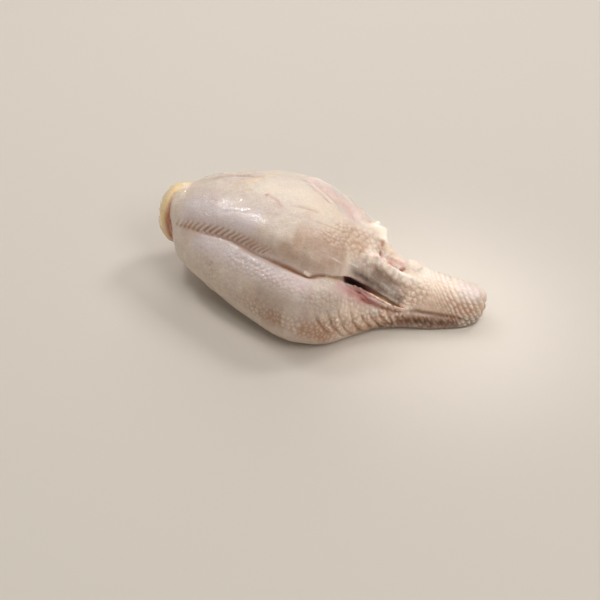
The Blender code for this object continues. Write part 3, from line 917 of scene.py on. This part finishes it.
# Everywhere the skin has the little mounds that each held a feather. They are close and high where the
# skin is gathered, wide and faint where it is stretched. Their size and spacing follow the place. Where
# they are high, the crevices between them get painted shade and their tops a painted highlight.
MOUND_ZONES = (
    # along, half width, height, spacing
    (((200, 262), (215, 280), (235, 296), (262, 312)), 12, 0.60, 3),
    (((232, 262), (262, 272), (292, 286), (318, 300)), 9, 0.55, 3),
    (((252, 308), (280, 320), (305, 330), (330, 338)), 9, 1.2, 3),
    (((200, 200), (230, 205), (262, 212), (290, 230)), 14, 0.20, 2.6),
    (((270, 215), (290, 225), (312, 240)), 10, 0.30, 3.6),
    (((318, 326), (340, 324), (360, 320), (380, 317), (400, 318)), 10, 1.05, 3),
    (((318, 296), (340, 302), (360, 306)), 8, 0.60, 3.3),
    (((330, 236), (346, 242), (364, 250)), 10, 0.95, 3.8),
    (((340, 226), (355, 232), (369, 240), (380, 252)), 8, 0.95, 3.9),
    (((312, 232), (328, 240), (345, 256)), 9, 0.35, 3.2),
    (((365, 262), (390, 276), (412, 290)), 6, 0.80, 4.4),
    (((352, 268), (370, 279), (394, 294)), 5, 0.25, 3.2),
    (((403, 300), (415, 296), (426, 290), (432, 284)), 9, 0.95, 3.3),
    (((400, 318), (415, 321), (430, 322)), 8, 0.70, 3.1),
    # the same on the sides that the photo does not show
    (((-80, 46, 22), (-20, 68, 18), (40, 54, 16)), 15, 0.65, 3.6),
    (((-70, 44, 44), (-20, 58, 46), (25, 56, 36)), 14, 0.45, 3.8),
    (((50, 44, 26), (75, 28, 22), (100, 20, 18)), 12, 0.80, 3.5),
    (((-60, -56, 10), (-10, -66, 10), (30, -56, 10)), 9, 0.45, 3.2),
)
FAINT_HEIGHT = 0.12
FAINT_SPACING = 4.6
CLOSEST = 0.86
CANDIDATE_PART = 3
ZONE_REACH, ZONE_BLEND = 2.2, 1.6
WARP_MM, WARP_SIZE, WARP_SEEDS = 0.8, 3.5, (11, 12, 13)
MOUND_HEIGHTS, MOUND_LEVEL = (0.4, 1.25), 0.45
MARKED_FROM, MARKED_OVER = 0.3, 0.7
MOUND_SHADE, MOUND_SHADE_POWER, MOUND_SHINE = 0.42, 1.2, 0.12

rise = np.full(len(points), FAINT_HEIGHT)
space = np.full(len(points), FAINT_SPACING)
for line, width, height, spacing in MOUND_ZONES:
    chosen, distance, _ = near(path_of(line), ZONE_REACH * width)
    amount = bell(distance, width)
    rise[chosen] = np.maximum(rise[chosen], amount * height)
    space[chosen] = space[chosen] + (spacing - space[chosen]) * np.clip(amount * ZONE_BLEND, 0, 1)
rise[on_neck] *= 1 - beaded

candidates = draw.permutation(len(points))[: len(points) // CANDIDATE_PART]
tree = KDTree(len(candidates))
for i, index in enumerate(candidates):
    tree.insert(points[index], i)
tree.balance()
free = np.ones(len(candidates), bool)
chosen = []
for i, index in enumerate(candidates):
    if free[i]:
        chosen.append(index)
        for _, other, _ in tree.find_range(points[index], space[index] * CLOSEST):
            free[other] = False
bent = points + WARP_MM * np.column_stack([wander(points, WARP_SIZE, seed) for seed in WARP_SEEDS])
owner, dome = cobbles(bent, points[chosen], space[chosen])
heights = rise * draw.uniform(*MOUND_HEIGHTS, len(chosen))[owner]
lift += heights * (dome - MOUND_LEVEL)
marked = np.clip((rise - MARKED_FROM) / MARKED_OVER, 0, 1)
# Painted shade between the mounds and painted highlights on their tops.
deepen("hollow", slice(None), MOUND_SHADE * marked * (1 - dome) ** MOUND_SHADE_POWER)
deepen("pearl", slice(None), MOUND_SHINE * marked * dome**2)
settle()

# No muscle is quite smooth: soft swells 20 mm long run all through it, with smaller unevenness on them and
# a slight waviness in the skin itself.
SWELLS = (
    # size, height, seed
    (20, 0.7, 21), (7.5, 0.22, 22), (3.2, 0.08, 23),
)

for size, height, seed in SWELLS:
    lift += height * wander(points, size, seed)
settle()

# The finish is raw chicken skin: thin, moist and half see-through. The eye gets a soft pale pink and
# cream ground, mottled by what lies beneath, with light that sinks in a little, and a wet film on top
# that breaks up into small bright glints. The stains' tints are laid over the ground, painted shade and
# painted highlights among them.
SKIN_CREAM = "#E1D1BD"
SKIN_PINK = "#D0BAAD"
# The crevice, dark and pocket tints are painted shade. The brown and grey ones are partly painted shade, and
# the pearl one is partly a painted highlight.
TINTS = {
    "cream": "#E1CEB8",
    "brown": "#B18664",
    "umber": "#4F2A10",
    "grey": "#5C4536",
    "lilac": "#D6C6C3",
    "flesh": "#D69C90",
    "blood": "#7E2E28",
    "bone": "#B3966A",
    "fat": "#F3D49A",
    "amber": "#B15A20",
    "pearl": "#F9EDE2",
    "hollow": "#9F663B",
    "gore": "#260B09",
}
MOTTLE_MM = 22.0
BLOTCH_MM = 5.0
SPECKLE_MM = 1.1
FILM_MM = 1.05
LIGHT_SINKS_MM = 0.7
RED_SINKS_DEEPEST = (1, 0.72, 0.58)


def linear(hex_colour):
    """A colour given as sRGB hex, as the linear numbers that shaders take."""
    parts = [int(hex_colour[i:i + 2], 16) / 255 for i in (1, 3, 5)]
    return (*[part / 12.92 if part <= 0.04045 else ((part + 0.055) / 1.055) ** 2.4 for part in parts], 1.0)


def feed(tree, made, inputs):
    """Give a node's own sockets these values, or link them to the sockets that feed them."""
    for name, value in inputs.items():
        if isinstance(value, bpy.types.NodeSocket):
            tree.links.new(value, made.inputs[name])
        else:
            made.inputs[name].default_value = value


def add_node(tree, kind, inputs=None, **settings):
    """Add a node with these settings and inputs."""
    made = tree.nodes.new("ShaderNode" + kind)
    for name, value in settings.items():
        setattr(made, name, value)
    feed(tree, made, inputs or {})
    return made


def new_material(name):
    """A new material, its node tree and its shader."""
    made = bpy.data.materials.new(name)
    made.use_nodes = True
    return made, made.node_tree, made.node_tree.nodes["Principled BSDF"]


# Where a Mix node has its two colours and its result.
MIX_A, MIX_B, MIX_RESULT = 6, 7, 2
SMALL_FACE_SIDES = 8

for name in STAINS:
    layer = breast.data.attributes.new(name, "FLOAT", "POINT")
    layer.data.foreach_set("value", np.clip(stains[name], 0, 1))

# Some small faces on the tear's rim would be cut along the same diagonal as a neighbour. Each gets a middle
# point, so that the skin stays closed when it is cut into triangles.
mesh = breast.data
mesh.calc_loop_triangles()
corners = values_of(mesh.loop_triangles, "vertices", kind=int)
owners = values_of(mesh.loop_triangles, "polygon_index", 1, int).ravel()
sides = np.sort(corners[:, [[0, 1], [1, 2], [2, 0]]].reshape(-1, 2), axis=1)
which, uses = np.unique(sides, axis=0, return_inverse=True, return_counts=True)[1:]
crowded = (uses[which.ravel()] > 2).reshape(-1, 3).any(axis=1)
alike = np.zeros(len(mesh.polygons), bool)
alike[owners[crowded]] = True
alike &= values_of(mesh.polygons, "loop_total", 1, int).ravel() <= SMALL_FACE_SIDES
edit_faces(breast, alike)
bpy.ops.mesh.poke()
bpy.ops.object.mode_set(mode="OBJECT")

skin, tree, shader = new_material("raw chicken skin")
place = add_node(tree, "TexCoord").outputs["Object"]
mottle, blotch, speckle, film = [
    add_node(tree, "TexNoise", {"Vector": place, "Scale": 1000 / size, "Detail": detail})
    for size, detail in ((MOTTLE_MM, 3.0), (BLOTCH_MM, 2.0), (SPECKLE_MM, 1.0), (FILM_MM, 0.0))
]
uneven = add_node(tree, "Math", {0: mottle.outputs["Fac"], 1: blotch.outputs["Fac"]}, operation="ADD")
spread = add_node(tree, "MapRange", {"Value": uneven.outputs[0], "From Min": 0.65, "From Max": 1.35})
ground = add_node(tree, "Mix", {
    "Factor": spread.outputs[0], MIX_A: linear(SKIN_CREAM), MIX_B: linear(SKIN_PINK),
}, data_type="RGBA")
colour = ground.outputs[MIX_RESULT]
for name, tint in TINTS.items():
    stain = add_node(tree, "Attribute", attribute_name=name).outputs["Fac"]
    frayed = add_node(tree, "MapRange", {"Value": blotch.outputs["Fac"], "From Min": 0.3, "From Max": 0.7,
                                         "To Min": 0.85, "To Max": 1.08})
    share = add_node(tree, "Math", {0: stain, 1: frayed.outputs[0]}, operation="MULTIPLY", use_clamp=True)
    colour = add_node(tree, "Mix", {
        "Factor": share.outputs[0], MIX_A: colour, MIX_B: linear(tint),
    }, data_type="RGBA").outputs[MIX_RESULT]
light_and_dark = add_node(tree, "MapRange", {
    "Value": speckle.outputs["Fac"], "From Min": 0.3, "From Max": 0.7, "To Min": 0.92, "To Max": 1.05,
})
shaded = add_node(tree, "VectorMath", {0: colour, 1: light_and_dark.outputs[0]}, operation="MULTIPLY")
fine = add_node(tree, "Bump", {"Height": speckle.outputs["Fac"], "Strength": 0.6, "Distance": 0.4 * MM})
wet = add_node(tree, "Bump", {"Height": film.outputs["Fac"], "Strength": 1.0, "Distance": 0.18 * MM})
gloss = add_node(tree, "MapRange", {
    "Value": mottle.outputs["Fac"], "From Min": 0.35, "From Max": 0.65, "To Min": 0.36, "To Max": 0.5,
})
water = add_node(tree, "Attribute", attribute_name="wet").outputs["Fac"]
film_thick = add_node(tree, "MapRange", {"Value": water, "To Min": 0.3, "To Max": 1.0})
feed(tree, shader, {
    "Base Color": shaded.outputs[0], "Normal": fine.outputs[0], "Coat Normal": wet.outputs[0],
    "Roughness": gloss.outputs[0], "Coat Weight": film_thick.outputs[0], "IOR": 1.4,
    "Subsurface Weight": 0.8, "Subsurface Radius": RED_SINKS_DEEPEST,
    "Subsurface Scale": LIGHT_SINKS_MM * MM, "Coat Roughness": 0.08, "Coat IOR": 1.4,
})

breast.data.materials.clear()
breast.data.materials.append(skin)
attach(breast, "root")
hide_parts("chicken_breast")

# The torn edge of the thin membrane under the skin stands up as a narrow, glossy, pinkish band along the
# tear. It widens towards the neck, where it ends at a white fibrous tip of the skin. It is drawn out of a
# circle ring by ring and laid along the tear.
TEAR_LIP = (
    (352.6, 286.4), (359.1, 288.9), (366.1, 292.5), (373.2, 297.1), (380.2, 300.9), (387.2, 304.9),
    (394.2, 308), (401, 310.4), (404.6, 309.8),
)
LIP_WIDTHS = (0.2, 0.4, 0.6, 0.8, 1, 1, 1, 0.8, 0.5)
LIP_THICK = 1.1
LIP_SIDES = 8
LIP_STEPS = 40
LIP_EVENINGS = 10
LIP_STANDS = 0.8
STREAK_MM = 2.2
MEMBRANE_PALE = "#EED3C2"
MEMBRANE_PINK = "#C99680"

lip_path = smooth_through(path_of(TEAR_LIP), LIP_STEPS)
for _ in range(LIP_EVENINGS):
    lip_path[1:-1] = (lip_path[:-2] + lip_path[2:]) / 2
lip_path[:, 2] += LIP_STANDS
lip_normals = np.array([skin_tree.find_nearest(Vector(place) * MM)[1] for place in lip_path])
bpy.ops.object.select_all(action="DESELECT")
bpy.ops.mesh.primitive_circle_add(vertices=LIP_SIDES, radius=1.0 * MM, fill_type="NGON")
lip = bpy.context.object
lip.name = "tear_membrane"
bpy.ops.object.mode_set(mode="EDIT")
for _ in range(LIP_STEPS - 1):
    bpy.ops.mesh.extrude_region_move(TRANSFORM_OT_translate={"value": (0, 0, MM)})
bpy.ops.object.mode_set(mode="OBJECT")
stack = values_of(lip.data.vertices, "co") / MM
level = np.clip(np.round(stack[:, 2]), 0, LIP_STEPS - 1).astype(int)
ahead = np.gradient(lip_path, axis=0)
ahead /= np.linalg.norm(ahead, axis=1)[:, None]
side = np.cross(ahead, lip_normals)
side /= np.linalg.norm(side, axis=1)[:, None]
wide = along(LIP_WIDTHS, np.linspace(0, 1, LIP_STEPS))
x, y = stack[:, :1], stack[:, 1:2]
laid = lip_path[level] + side[level] * x * wide[level, None] + lip_normals[level] * y * LIP_THICK
lip.data.vertices.foreach_set("co", (laid * MM).ravel())
edit_whole(lip, bpy.ops.mesh.normals_make_consistent, inside=False)
finish_with(lip, "SUBSURF", levels=1, render_levels=1)
lip.data.shade_smooth()

membrane, tree, shader = new_material("wet torn membrane")
place = add_node(tree, "TexCoord").outputs["Object"]
streaks = add_node(tree, "TexNoise", {"Vector": place, "Scale": 1000 / STREAK_MM, "Detail": 2.0})
spread = add_node(tree, "MapRange", {"Value": streaks.outputs["Fac"], "From Min": 0.35, "From Max": 0.65})
pinkish = add_node(tree, "Mix", {
    "Factor": spread.outputs[0], MIX_A: linear(MEMBRANE_PALE), MIX_B: linear(MEMBRANE_PINK),
}, data_type="RGBA")
feed(tree, shader, {
    "Base Color": pinkish.outputs[MIX_RESULT], "Roughness": 0.35,
    "Subsurface Weight": 0.6, "Subsurface Radius": RED_SINKS_DEEPEST,
    "Subsurface Scale": LIGHT_SINKS_MM * MM, "Coat Weight": 0.6, "Coat Roughness": 0.1,
})
lip.data.materials.append(membrane)
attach(lip, "root")

# The breast lies on a plain pale floor. The light is that of a bright white room: wide pale sources behind,
# overhead and in front, two on the neck's side, two small ones on the tail's side for the wet glints, and
# a faint narrow one on the neck.
FLOOR_SIDE = 60.0
FLOOR_TONE = "#CFC5B8"
ROOM_LIGHT = 0.16
LAMPS = (
    # name, direction from the breast, distance, size, watts
    ("back light", (-0.15, 0.85, 0.52), 2.5, 1.5, 16),
    ("overhead light", (0.05, -0.05, 1), 2.4, 2, 9.2),
    ("neck back light", (0.42, 0.5, 0.78), 2, 0.5, 11.5),
    ("neck front light", (0.55, -0.42, 0.7), 2, 0.8, 10),
    ("front light", (-0.2, -0.85, 0.42), 2.2, 1.6, 5.2),
    ("tail side light", (-0.54, 0.33, 0.78), 1.6, 0.26, 5.3),
    ("crest light", (-0.64, 0.06, 0.77), 1.6, 0.16, 1.2),
)
SPOT_FROM = (0.40, -0.25, 0.75)
SPOT_AT = (0.095, -0.002, 0.03)
SPOT_SIZE = 0.14
SPOT_WATTS = 0.034
SPOT_SPREAD = math.radians(16)

bpy.ops.mesh.primitive_plane_add(size=FLOOR_SIDE)
floor = bpy.context.object
floor.name = "floor"
pale, tree, shader = new_material("plain pale floor")
feed(tree, shader, {"Base Color": linear(FLOOR_TONE), "Roughness": 0.7})
floor.data.materials.append(pale)

room = bpy.data.worlds.new("pale room")
bpy.context.scene.world = room
room.use_nodes = True
tree = room.node_tree
feed(tree, tree.nodes["Background"], {"Color": (1, 1, 1, 1), "Strength": ROOM_LIGHT})


def add_lamp(name, place, aim, size, watts):
    """Add a square light at a place, turned to face its aim."""
    bpy.ops.object.light_add(type="AREA", location=place)
    lamp = bpy.context.object
    lamp.name = name
    lamp.data.energy = watts
    lamp.data.size = size
    lamp.rotation_euler = (Vector(aim) - Vector(place)).to_track_quat("-Z", "Y").to_euler()
    return lamp


for name, toward, distance, size, watts in LAMPS:
    add_lamp(name, Vector(toward).normalized() * distance, (0, 0, 0), size, watts)
neck_spot = add_lamp("neck spot", SPOT_FROM, SPOT_AT, SPOT_SIZE, SPOT_WATTS)
neck_spot.data.spread = SPOT_SPREAD
bpy.context.scene.view_settings.view_transform = "Standard"
